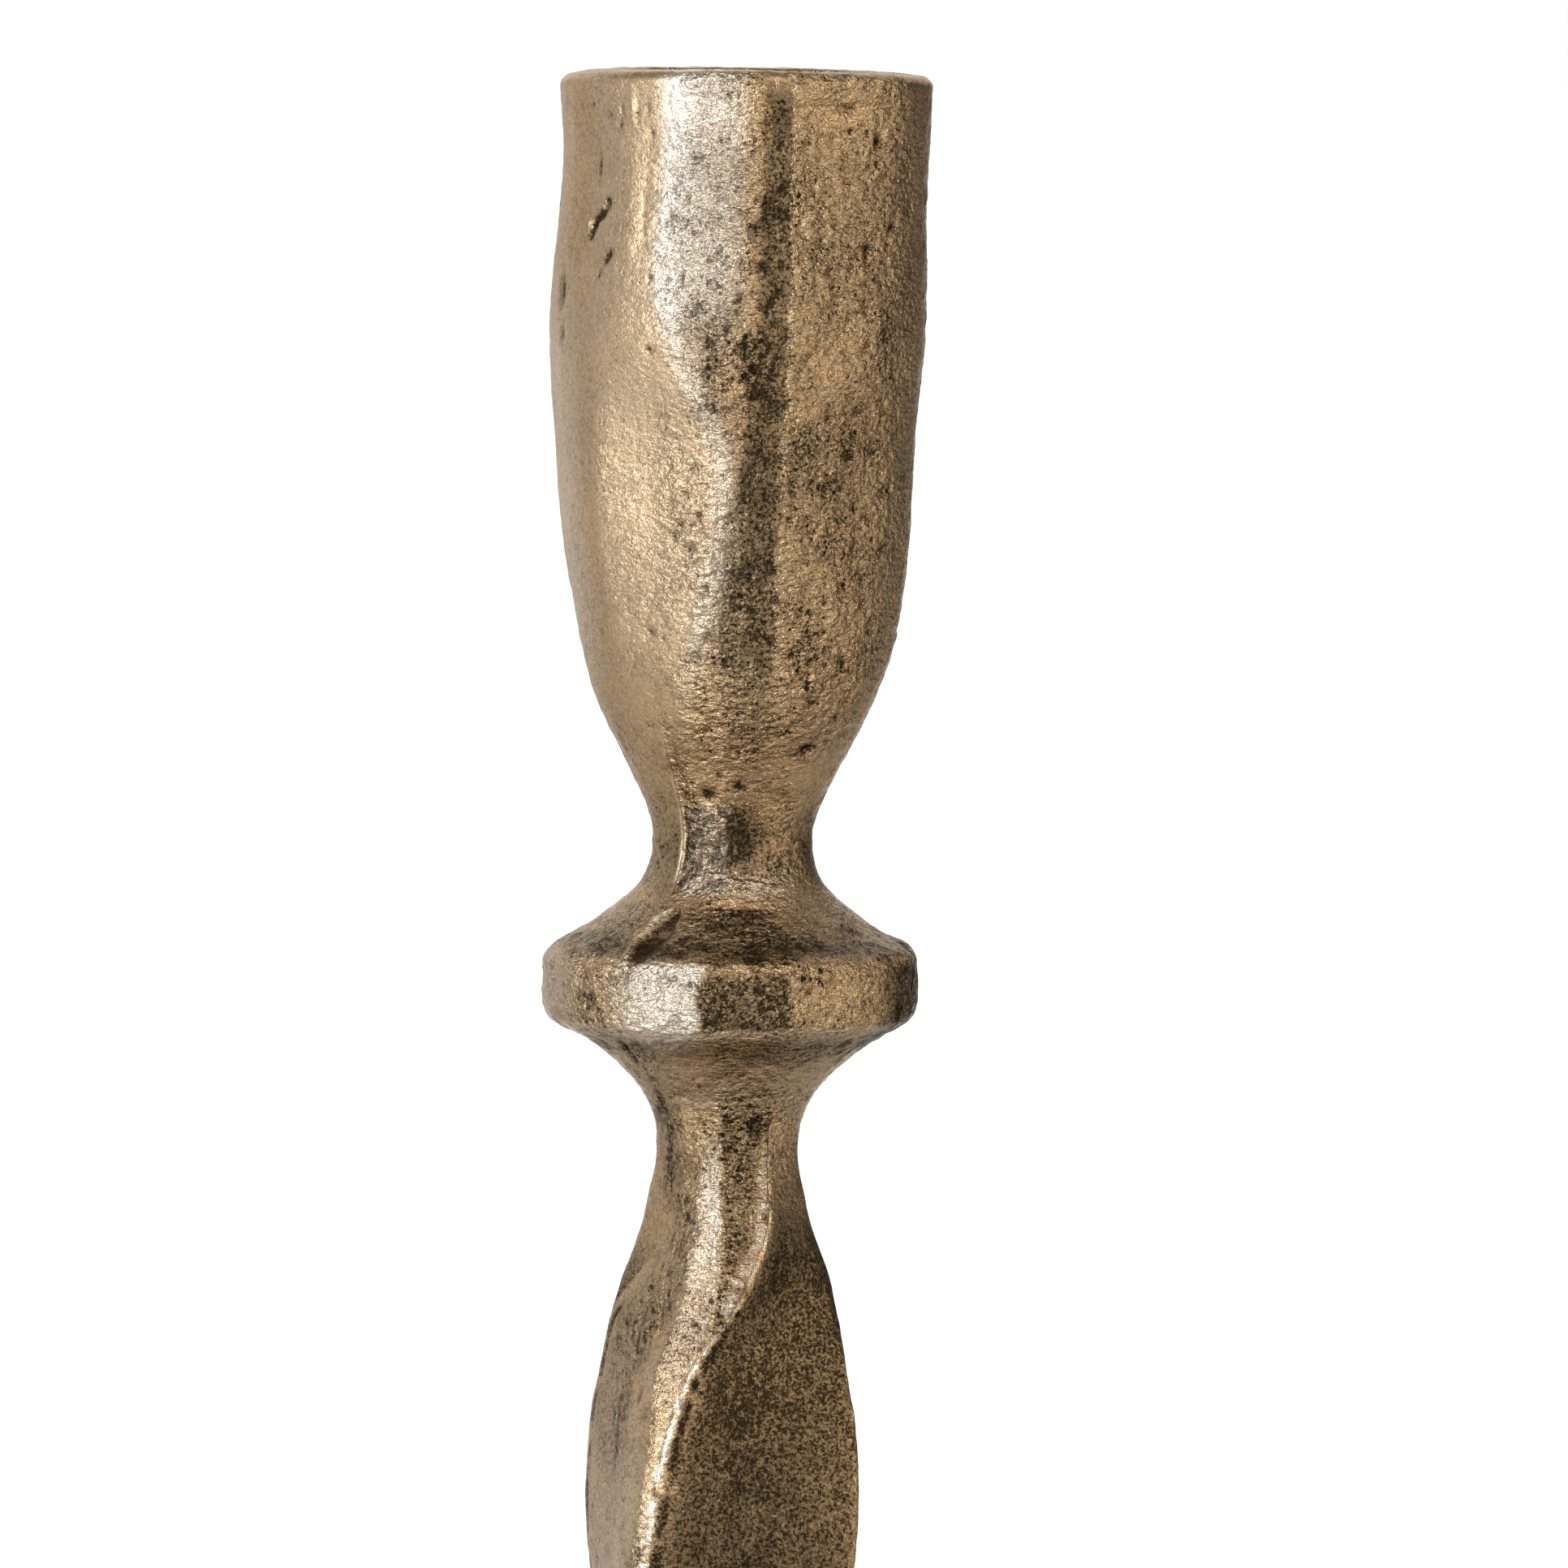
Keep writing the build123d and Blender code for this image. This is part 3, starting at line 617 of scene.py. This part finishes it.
def make_stem():
    """Twisted stem with two dull and two brushed faces, and a ridge in front rubbed pale with a painted highlight."""
    length = stem_top - stem_bottom
    levels = np.linspace(stem_bottom, stem_top, STEM_ROWS)
    nearest = np.minimum(stem_top - levels, levels - stem_bottom)
    outline = np.stack([curve(STEM_RADIUS, nearest), levels], axis=1)
    ends = [
        (HUB_RADIUS, TAPPED_DEPTH), (TAPPED_RADIUS, TAPPED_DEPTH), (TAPPED_RADIUS, -SPIGOT_LENGTH),
        (NARROW_SPIGOT, -SPIGOT_LENGTH), (NARROW_SPIGOT, 0)]
    before = np.array([(radius, stem_bottom + rise) for radius, rise in ends])
    after = np.array([(radius, stem_top - rise) for radius, rise in ends[::-1]])
    skin = Skin(outline, STEM_COLUMNS, before, after)

    depth = stem_top - skin.level
    nearest = np.clip(np.minimum(depth, length - depth), 0, length / 2)
    middle_turn = STEM_TURN[-1][1]
    ridge_turn = curve(STEM_TURN, nearest)
    ridge_turn = np.where(depth > length / 2, 2 * middle_turn - ridge_turn, ridge_turn)
    crisp = curve(STEM_CRISP, nearest) * skin.outside
    place = skin.points()
    sway = 1.5 * noise(place, 14.0, 171)
    chamfer = curve(STEM_CHAMFER, nearest)
    strip = curve(STEM_STRIP, nearest) * (1 + 0.35 * noise(place, 4.0, 237, 2))
    ridges = []
    spread = STEM_SPREAD * (1 - ramp(13, 21, nearest))
    for corner in range(4):
        base = ridge_turn + 90.0 * corner - 180
        if corner % 2 == 0:
            ridges += [base - chamfer - strip, base - chamfer, base]
        elif corner == 1:
            ridges += [base - np.maximum(chamfer, spread + 3), base - spread]
        else:
            ridges += [base - chamfer, base]
    skin.factor = 1 + (facet_factor(skin.turn + sway, ridges, curve(STEM_SHARPNESS, nearest)) - 1) * crisp

    # Share of the way round from one ridge to the next
    across = np.mod(skin.turn + sway - ridge_turn, 90) / 90
    from_ridge = (np.mod(across + 0.5, 1) - 0.5) * 90
    dull = np.where(np.floor(np.mod(skin.turn + sway - ridge_turn, 360) / 90) % 2 == 0, 1.0, 0.0)
    sandy = ramp(0.02, 0.10, across) * np.where(
        dull > 0, 1 - ramp(0.94, 1.0, across), 1 - ramp(0.5, 0.75, across)) * crisp
    near = 1 - ramp(11, 19, nearest)
    sandy = sandy * (1 - near * (1 - ramp(-40, -10, skin.turn)) * ramp(-150, -120, skin.turn))
    gap = 90 - 90 * across
    facing = ramp(0, 4, chamfer - gap) * ramp(4, 10, chamfer) * (1 - dull)
    sheen = ramp(-9, 10, chamfer + strip - gap) * (1 - ramp(-2, 3, chamfer - gap)) * crisp
    sheen *= (1 - dull) * (1 - 0.8 * ramp(20, 33, nearest))
    bare = (1 - sheen) * (1 - facing)
    skin.mark(
        coarse=0.30 - 0.15 * sandy * dull + 0.3 * (1 - crisp) + 0.35 * facing + 0.28 * sheen,
        scored=0.6 * ramp(0.3, 0.5, across) * (1 - dull) + 0.4 * facing)
    cast_surface(skin, 0.7 * ramp(0, 1.5, nearest))
    skin.offset += STEM_BULGE * window(0.5, 0.78, 0.82, 1.0, across) * ramp(45, 5, chamfer + strip)
    # Ridge: a thin crest, pale in broken dashes as wear and painted highlight, a blunt bead where the chamfer is
    # wide, and a pitted lee on its right
    front = np.exp(-(skin.turn / 45) ** 4)
    wide = ramp(6, 14, chamfer)
    side_ridge = np.round((skin.turn + sway - ridge_turn) / 90) % 2
    crest = np.exp(-((from_ridge + 1.0 + 2.0 * wide) / (1.4 + 3.8 * wide)) ** 2) * crisp
    crest *= (1 - near * (1 - front)) * (1 - 0.85 * side_ridge)
    lee = np.exp(-((from_ridge - 2.8) / 2.0) ** 2) * crisp * (1 - wide)
    ripple = noise(place * (0.6, 0.6, 1.8), 1.1, 221)
    broken = 0.9 * ramp(-0.45, 0.15, ripple + 0.6 * noise(place, 3.0, 239))
    skin.offset += crest * (0.06 + 0.22 * front) * (ripple + 0.6 * noise(place, 4.0, 223)) + 0.12 * crest * wide
    skin.offset += 0.20 * facing * ripple - lee * (0.16 + 0.22 * noise(place, 1.8, 225))
    skin.mark(patina=0.9 * lee * ramp(-0.6, 0.1, noise(place, 1.5, 227)) - 0.9 * broken * crest)
    skin.mark(patina=0.9 * crest * ramp(0.1, 0.5, noise(place, 2.2, 231)) * (1 - 0.9 * wide))
    # Stain on the dull faces, a darker chamfer, and metal rubbed pale, partly as painted highlight, on the strips,
    # the crest and the brushed faces far down
    stained = 0.15 - 0.12 * ramp(28, 38, nearest) + 0.60 * dull * ramp(7, 16, nearest)
    skin.mark(patina=stained * sandy * bare + 0.40 * facing * (1 - crest))
    skin.mark(patina=-0.2 * sheen * (1 - ramp(9, 15, nearest)), coarse=0.3 * lee - 0.2 * crest)
    skin.mark(worn=0.88 * sheen * (1 - 0.65 * ramp(9, 17, nearest)) + broken * crest * (1 - 0.2 * wide))
    skin.mark(worn=0.15 * (1 - dull) * bare * ramp(28, 38, nearest))
    # Speckle on the middle of each face
    speckled = window(0.05, 0.25, 0.50, 0.72, across) * ramp(3, 9, nearest)
    speckled *= 1 - 0.8 * (1 - dull) * ramp(30, 37, nearest)
    speckled *= (0.58 - 0.38 * dull) * bare
    specks = noise(place * (1, 1, 0.9), 0.8, 229, 2) + 0.6 * noise(place * (1, 1, 0.6), 5.0, 233)
    skin.mark(patina=speckled * ramp(0.0, 0.4, specks), coarse=0.9 * speckled * (1 - dull))
    # Dark smudge on the neck's left, and one small scar
    smudge = np.exp(-((skin.turn + 60) / 12) ** 2) * (1 - ramp(5, 12, depth))
    skin.mark(patina=0.8 * smudge * ramp(-0.6, 0.2, noise(place, 1.1, 235, 2)))
    skin.dent(-44.0, stem_top - 26.9, 0.35, 1.0, 0.22, 0.25, 0.8)
    skin.dent(-44.0, stem_top - 26.9, 0.15, 0.55, -0.12, 0.25, -0.5)
    return skin.build("twisted_stem_casting")


# Foot. Heights are above its underside.

FOOT_OUTLINE = (
    (50.6, 0), (52.6, 0.55), (53.7, 1.9), (54, 3.6), (53.9, 5.3), (53.2, 6.9), (51.6, 8.1), (49, 9),
    (43, 11.2), (35, 14.6), (27.6, 19), (21, 23.8), (15.3, 29.6), (11.4, 35.7), (9, 40.6), (7.95, 45),
    (8.4, 48.6), (10.3, 52),
)
FOOT_SPACING = 0.5
FOOT_COLUMNS = 480
FOOT_HOLLOW = ((44, 0), (44, 3), (34.99, 9.6), (21.01, 18.84), (11, 18.84), (11, 12))


def make_foot():
    """Flared foot, hollow below."""
    height = foot_top - foot_bottom
    outline = outline_through(FOOT_OUTLINE, FOOT_SPACING)
    outline[:, 1] *= height / FOOT_OUTLINE[-1][1]
    before = np.array([(THROUGH_RADIUS, FOOT_HOLLOW[-1][1])] + list(FOOT_HOLLOW[::-1]))
    after = np.array([
        (WIDE_SPIGOT, height), (WIDE_SPIGOT, height + SPIGOT_LENGTH), (THROUGH_RADIUS, height + SPIGOT_LENGTH)])
    for part in (outline, before, after):
        part[:, 1] += foot_bottom
    skin = Skin(outline, FOOT_COLUMNS, before, after, ring=True)
    skin.mark(coarse=0.4)
    cast_surface(skin, ramp(0, 3.0, skin.level - foot_bottom) * ramp(0, 1.5, foot_top - skin.level))
    skin.wear_and_light["patina"] += 0.4 * (1 - skin.outside)
    return skin.build("foot_casting")


# Felt

FELT_SPACING = 0.6
FELT_COLUMNS = 320


def make_felt():
    """Felt disc with a soft, slightly fuzzy edge."""
    rim, top = felt_radius, felt_top
    outline = outline_through(
        ((2.0, 0.0), (15.0, 0.0), (30.0, 0.0), (rim - 1.2, 0.0), (rim - 0.3, 0.35), (rim, 1.0),
         (rim - 0.3, top - 0.3), (rim - 1.2, top), (30.0, top), (15.0, top), (2.0, top)), FELT_SPACING)
    skin = Skin(outline, FELT_COLUMNS)
    place = skin.points()
    skin.offset -= 0.06 + 0.06 * noise(place, 3.0, 401, 3)
    skin.offset += 0.12 * noise(place, 1.4, 403) * ramp(0.3, 0.8, skin.out_r)
    skin.offset *= 1 - ramp(0.5, 0.9, skin.out_z)
    return skin.build("felt_disc_cut")


# Materials

def add_node(tree, kind, settings=None, **inputs):
    """Node with its settings and inputs; an input is a value or another node's output."""
    made = tree.nodes.new(kind)
    for key, value in (settings or {}).items():
        setattr(made, key, value)
    for key, value in inputs.items():
        fill(tree, made.inputs[key.replace("_", " ")], value)
    return made


def fill(tree, socket, value):
    """Link a node's output to a socket, or set the socket's own value."""
    if isinstance(value, bpy.types.NodeSocket):
        tree.links.new(value, socket)
    else:
        socket.default_value = value


def maths(tree, operation, first, second=0.0, clamp=False):
    """Two values joined by an operation."""
    made = add_node(tree, "ShaderNodeMath", {"operation": operation, "use_clamp": clamp})
    fill(tree, made.inputs[0], first)
    fill(tree, made.inputs[1], second)
    return made.outputs[0]


def ranged(tree, value, low, high, to_low=0.0, to_high=1.0):
    """Value carried smoothly from one range to another."""
    made = add_node(
        tree, "ShaderNodeMapRange", {"interpolation_type": "SMOOTHSTEP"},
        Value=value, From_Min=low, From_Max=high, To_Min=to_low, To_Max=to_high)
    return made.outputs["Result"]


def blend(tree, share, first, second):
    """Mix of two colours."""
    made = add_node(tree, "ShaderNodeMix", {"data_type": "RGBA"})
    for key, value in (("Factor_Float", share), ("A_Color", first), ("B_Color", second)):
        fill(tree, next(socket for socket in made.inputs if socket.identifier == key), value)
    return next(socket for socket in made.outputs if socket.identifier == "Result_Color")


def product(tree, first, second, base=None, clamp=False):
    """Product of two values, added to a base if there is one."""
    made = maths(tree, "MULTIPLY", first, second)
    return made if base is None else maths(tree, "ADD", base, made, clamp)


def new_material(name):
    """Material, its tree, its shader and the place on the piece."""
    made = bpy.data.materials.new(name)
    made.use_nodes = True
    tree = made.node_tree
    return made, tree, tree.nodes["Principled BSDF"], add_node(tree, "ShaderNodeTexCoord").outputs["Object"]


def dress(tree, shader, colour, roughness, height, distance, strength=1.0):
    """Give a shader its colour, roughness and bump."""
    bump = add_node(tree, "ShaderNodeBump", Strength=strength, Distance=distance, Height=height)
    for key, value in (("Base Color", colour), ("Roughness", roughness), ("Normal", bump.outputs["Normal"])):
        tree.links.new(value, shader.inputs[key])


def spots(tree, place, size, detail=2.0, roughness=0.55, output=0):
    """Noise whose bumps are about the given size."""
    made = add_node(
        tree, "ShaderNodeTexNoise", Vector=place, Scale=1 / (size * MM), Detail=detail, Roughness=roughness)
    return made.outputs[output]


def pits(tree, place, size):
    """Scattered pits of uneven width, 1 in a pit and 0 between them, in cells of the given size."""
    cells = add_node(tree, "ShaderNodeTexVoronoi", Vector=place, Scale=1 / (size * MM), Randomness=1.0)
    chance = add_node(tree, "ShaderNodeSeparateColor", Color=cells.outputs["Color"]).outputs["Red"]
    reach = maths(tree, "DIVIDE", cells.outputs["Distance"], ranged(tree, chance, 0.25, 1.0, 0.02, 0.44))
    return ranged(tree, reach, 0.45, 1.0, 1.0, 0.0)


def stretch(tree, place, across, along):
    """Place scaled across and along the axis."""
    return add_node(tree, "ShaderNodeMapping", Vector=place, Scale=(across, across, along)).outputs["Vector"]


BRASS, BRASS_DEEP = (0.67, 0.435, 0.225, 1), (0.595, 0.39, 0.205, 1)
BRASS_FLECK = (0.82, 0.62, 0.39, 1)
# Pale of rubbed metal, also used for painted highlight
BRASS_RUBBED_AND_HIGHLIGHT = (0.92, 0.79, 0.63, 1)
BRASS_AT_EDGES = (0.88, 0.83, 0.78, 1)
# Dark of the dirt, also used for painted shade
GRIME_AND_SHADE = (0.036, 0.024, 0.012, 1)
# How far the pits' cells are bent
PIT_WARP = 0.8 * MM


def brass_material():
    """Rough cast brass: grain and pits follow coarse, scratches follow scored, a dark attribute carries dirt and
    painted shade, and a pale one carries wear and painted highlight.
    """
    made, tree, shader, place = new_material("antique_brass")
    patina, coarse, scored, worn = (
        add_node(tree, "ShaderNodeAttribute", {"attribute_name": key}).outputs["Fac"]
        for key in ("patina", "coarse", "scored", "worn"))
    mottle = spots(tree, place, 0.6, 3.0, 0.9)
    sand = spots(tree, place, 0.32, 2.0, 0.8)
    flattened = stretch(tree, place, 0.7, 1.2)
    grain = spots(tree, flattened, 0.5, 2.0, 0.65)
    swells = spots(tree, flattened, 1.0, 1.0, 0.5)
    fine = spots(tree, place, 0.12, 1.0, 0.5)
    scratches = spots(tree, stretch(tree, place, 0.15, 1.0), 0.24, 2.0, 0.6)
    crowd = ranged(tree, spots(tree, place, 4.5, 2.0, 0.6), 0.40, 0.62)
    warped = add_node(tree, "ShaderNodeVectorMath", {"operation": "MULTIPLY_ADD"})
    for socket, value in zip(warped.inputs, (spots(tree, place, 0.6, 1.0, 0.5, "Color"), [PIT_WARP] * 3, place)):
        fill(tree, socket, value)
    amount = product(tree, coarse, ranged(tree, crowd, 0.0, 1.0, 0.40, 1.0))
    amount = product(tree, crowd, 0.10, amount, clamp=True)
    hole = product(tree, pits(tree, warped.outputs[0], 0.8), amount)
    dot = product(tree, pits(tree, warped.outputs[0], 0.36), product(tree, amount, 0.65, 0.35))

    height = 0.0
    for layer, gain, least in ((grain, 0.46, 0.055), (swells, 0.42, 0.0), (fine, 0.060, 0.034), (sand, 0.14, 0.02)):
        height = product(tree, layer, product(tree, coarse, gain, least), height)
    for layer, gain in ((scratches, product(tree, scored, 0.06)), (hole, -0.16), (dot, -0.07)):
        height = product(tree, layer, gain, height)

    # Dirt, with the painted shade marked on the skin added in
    dirt_and_shade = product(tree, ranged(tree, mottle, 0.56, 0.40), product(tree, amount, 0.36, 0.15))
    dirt_and_shade = product(tree, ranged(tree, sand, 0.50, 0.34), product(tree, amount, 0.34, 0.24), dirt_and_shade)
    for layer, gain in ((hole, 0.85), (dot, 0.55), (patina, ranged(tree, sand, 0.36, 0.64, 1.20, 0.75))):
        dirt_and_shade = product(tree, layer, gain, dirt_and_shade)
    dirt_and_shade = product(tree, ranged(tree, scratches, 0.48, 0.34), product(tree, scored, 0.35), dirt_and_shade, clamp=True)
    dirt_and_shade = product(tree, dirt_and_shade, ranged(tree, worn, 0.0, 1.0, 1.0, 0.65))
    metal = blend(tree, ranged(tree, spots(tree, place, 15.0, 3.0, 0.6), 0.36, 0.64), BRASS, BRASS_DEEP)
    metal = blend(tree, ranged(tree, fine, 0.42, 0.72, 0.0, 0.30), metal, BRASS_FLECK)
    # Pale metal for wear and painted highlight
    metal = blend(tree, worn, metal, BRASS_RUBBED_AND_HIGHLIGHT)
    roughness = product(tree, dirt_and_shade, 0.16, ranged(tree, coarse, 0.0, 0.8, 0.27, 0.17))
    dress(tree, shader, blend(tree, dirt_and_shade, metal, GRIME_AND_SHADE), roughness, height, MM)
    shader.inputs["Metallic"].default_value = 1.0
    shader.inputs["Specular Tint"].default_value = BRASS_AT_EDGES
    return made


def steel_material():
    """Plain steel of the fasteners."""
    made, tree, shader, place = new_material("fastener_steel")
    marks = spots(tree, place, 0.5, 2.0, 0.6)
    cloud = ranged(tree, spots(tree, place, 3.0, 3.0, 0.6), 0.35, 0.65)
    colour = blend(tree, cloud, (0.50, 0.50, 0.49, 1), (0.62, 0.62, 0.61, 1))
    dress(tree, shader, colour, ranged(tree, marks, 0.3, 0.7, 0.28, 0.42), marks, 0.02 * MM, 0.6)
    shader.inputs["Metallic"].default_value = 1.0
    return made


def felt_material():
    """Dark felt."""
    made, tree, shader, place = new_material("felt")
    fibres = spots(tree, place, 0.6, 4.0, 0.7)
    tufts = spots(tree, place, 4.0, 3.0, 0.6)
    colour = blend(tree, ranged(tree, fibres, 0.3, 0.7), (0.045, 0.040, 0.036, 1), (0.12, 0.105, 0.09, 1))
    colour = blend(tree, ranged(tree, tufts, 0.35, 0.7, 0.0, 0.5), colour, (0.07, 0.062, 0.055, 1))
    dress(tree, shader, colour, ranged(tree, fibres, 0.2, 0.8, 0.85, 1.0), fibres, 0.25 * MM)
    return made


brass, steel, felt = brass_material(), steel_material(), felt_material()

castings = {
    "candle_cup": make_cup(),
    "upper_collar": make_collar("upper_collar_casting", stem_top, cup_level, False),
    "twisted_stem": make_stem(),
    "lower_collar": make_collar("lower_collar_casting", foot_top, stem_bottom, True),
    "foot": make_foot(),
    "felt_disc": make_felt(),
}
for node_name, piece in castings.items():
    soft_piece = node_name == "felt_disc"
    piece.data.materials.append(felt if soft_piece else brass)
    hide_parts(node_name)
    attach(piece, "root")
for node_name in ("upper_stud", "foot_bolt", "spring_washer", "flat_washer"):
    node_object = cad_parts[node_name]
    node_object.data.materials.clear()
    node_object.data.materials.append(steel)


# Camera, placed by the photograph's frame: its size in pixels, the millimetres for each pixel at the holder, the
# rim's row, the axis's column, and the lean of the picture in degrees

PHOTO_SIZE = 1932
PIXEL = 0.0767
CAMERA_DISTANCE = 950.0
CAMERA_ABOVE_RIM = 10.0
RIM_ROW = 92.7
AXIS_COLUMN = 903.6
LEAN = 0.964
SENSOR = 36.0

# The camera stands about level with the rim and looks at the middle of the picture.
centre_level = rim_level - (PHOTO_SIZE / 2 - RIM_ROW) * PIXEL
centre_side = (PHOTO_SIZE / 2 - AXIS_COLUMN) * PIXEL
camera_data = bpy.data.cameras.new("camera")
camera = bpy.data.objects.new("camera", camera_data)
bpy.context.scene.collection.objects.link(camera)
eye = Vector((0, -CAMERA_DISTANCE, rim_level + CAMERA_ABOVE_RIM)) * MM
target = Vector((centre_side, 0, centre_level)) * MM
look = target - eye
turned = look.to_track_quat("-Z", "Y").to_matrix().to_4x4()
camera.matrix_world = Matrix.Translation(eye) @ turned @ Matrix.Rotation(math.radians(LEAN), 4, "Z")
camera_data.sensor_width = SENSOR
camera_data.lens = SENSOR * look.length / (PHOTO_SIZE * PIXEL * MM)
bpy.context.scene.camera = camera


# Studio, in metres

# Level that most lamps are aimed at
LIT_LEVEL = 0.22


def softbox(name, turn, lift, distance, width, height, radiance, tint, level=LIT_LEVEL):
    """Rectangular lamp that faces the holder from a direction and a lift above the horizon, in degrees."""
    lamp = bpy.data.lights.new(name, "AREA")
    lamp.shape = "RECTANGLE"
    lamp.size, lamp.size_y = width, height
    lamp.energy = radiance * math.pi * width * height
    lamp.color = tint
    obj = bpy.data.objects.new(name, lamp)
    bpy.context.scene.collection.objects.link(obj)
    out, up = math.radians(turn), math.radians(lift)
    away = Vector((math.sin(out) * math.cos(up), -math.cos(out) * math.cos(up), math.sin(up)))
    facing = (-away).to_track_quat("-Z", "Y").to_matrix().to_4x4()
    obj.matrix_world = Matrix.Translation(Vector((0, 0, level)) + away * distance) @ facing


# Daylight from the left, a slightly warmer lamp on the right
COOL, WARM, PLAIN = (0.94, 1.0, 1.09), (1.07, 1.0, 0.89), (1.0, 1.0, 1.0)

softbox("key", -34.5, 8, 1.2, 0.70, 1.3, 4.3, COOL)
softbox("key_edge", -63, 8, 1.2, 0.45, 1.3, 0.44, COOL)
softbox("left_side", -93, 8, 1.2, 0.68, 1.3, 0.47, COOL)
softbox("left_back", -120, 8, 1.2, 0.44, 1.3, 0.50, COOL)
softbox("left_far", -146, 8, 1.2, 0.62, 1.3, 0.80, COOL)
softbox("right_fill", 65, 0, 1.3, 0.56, 0.80, 3.5, WARM, level=0.52)
softbox("overhead", 5, 52, 1.3, 1.9, 1.05, 0.80, PLAIN)

WHITE = (1, 1, 1, 1)
FLOOR_HALF = 30.0


def white_where(tree, backdrop):
    """1 to the camera, and to a mirrored ray by its share of the backdrop."""
    path = add_node(tree, "ShaderNodeLightPath")
    mirrored = maths(tree, "ADD", path.outputs["Is Glossy Ray"], path.outputs["Is Transmission Ray"], clamp=True)
    return product(tree, mirrored, backdrop, path.outputs["Is Camera Ray"], clamp=True)


def slant(tree, x, y):
    """How far to either side a direction or a place lies, for each step to the back."""
    return maths(tree, "DIVIDE", maths(tree, "ABSOLUTE", x), maths(tree, "MAXIMUM", y, 0.01))


def make_world():
    """World that is white to the camera, dim all round, and white behind the holder in reflections."""
    world = bpy.data.worlds.new("studio")
    world.use_nodes = True
    bpy.context.scene.world = world
    tree = world.node_tree
    ray = add_node(tree, "ShaderNodeTexCoord").outputs["Generated"]
    x, y, z = add_node(tree, "ShaderNodeSeparateXYZ", Vector=ray).outputs
    aside = product(tree, maths(tree, "MAXIMUM", z), -0.7, slant(tree, x, y))
    behind = product(tree, ranged(tree, aside, 0.10, 0.35, 1.0, 0.0), ranged(tree, y, 0.0, 0.3))
    behind = product(tree, behind, ranged(tree, z, 0.45, 0.75, 1.0, 0.0))
    sky = blend(tree, ranged(tree, z, 0.1, 0.6), (0.065, 0.065, 0.065, 1), (0.28, 0.28, 0.28, 1))
    tree.links.new(blend(tree, white_where(tree, behind), sky, WHITE), tree.nodes["Background"].inputs["Color"])


def make_floor():
    """Floor that keeps the holder's shadow and runs into the white background."""
    mesh = bpy.data.meshes.new("floor")
    corners = ((-1, -1), (1, -1), (1, 1), (-1, 1))
    mesh.from_pydata([(x * FLOOR_HALF, y * FLOOR_HALF, 0) for x, y in corners], [], [(0, 1, 2, 3)])
    floor_piece = bpy.data.objects.new("floor", mesh)
    bpy.context.scene.collection.objects.link(floor_piece)
    made, tree, shader, place = new_material("floor")
    tone = blend(tree, spots(tree, place, 40.0, 3.0, 0.6), (0.76, 0.76, 0.76, 1), (0.80, 0.80, 0.80, 1))
    tree.links.new(tone, shader.inputs["Base Color"])
    shader.inputs["Roughness"].default_value = 0.9
    shader.inputs["Emission Color"].default_value = WHITE
    away = add_node(tree, "ShaderNodeVectorMath", {"operation": "LENGTH"}, Vector=place).outputs["Value"]
    x, y, _ = add_node(tree, "ShaderNodeSeparateXYZ", Vector=place).outputs
    aside = maths(tree, "SUBTRACT", slant(tree, x, y), ranged(tree, y, 0.4, 1.5, 0.25, 0.0))
    back = product(tree, ranged(tree, aside, 0.10, 0.35, 1.0, 0.0), ranged(tree, y, 0.2, 0.9))
    glow = product(tree, white_where(tree, back), ranged(tree, away, 0.3, 1.4, 0.70, 1.0))
    tree.links.new(glow, shader.inputs["Emission Strength"])
    mesh.materials.append(made)


make_world()
make_floor()

bpy.context.scene.view_settings.view_transform = "Standard"
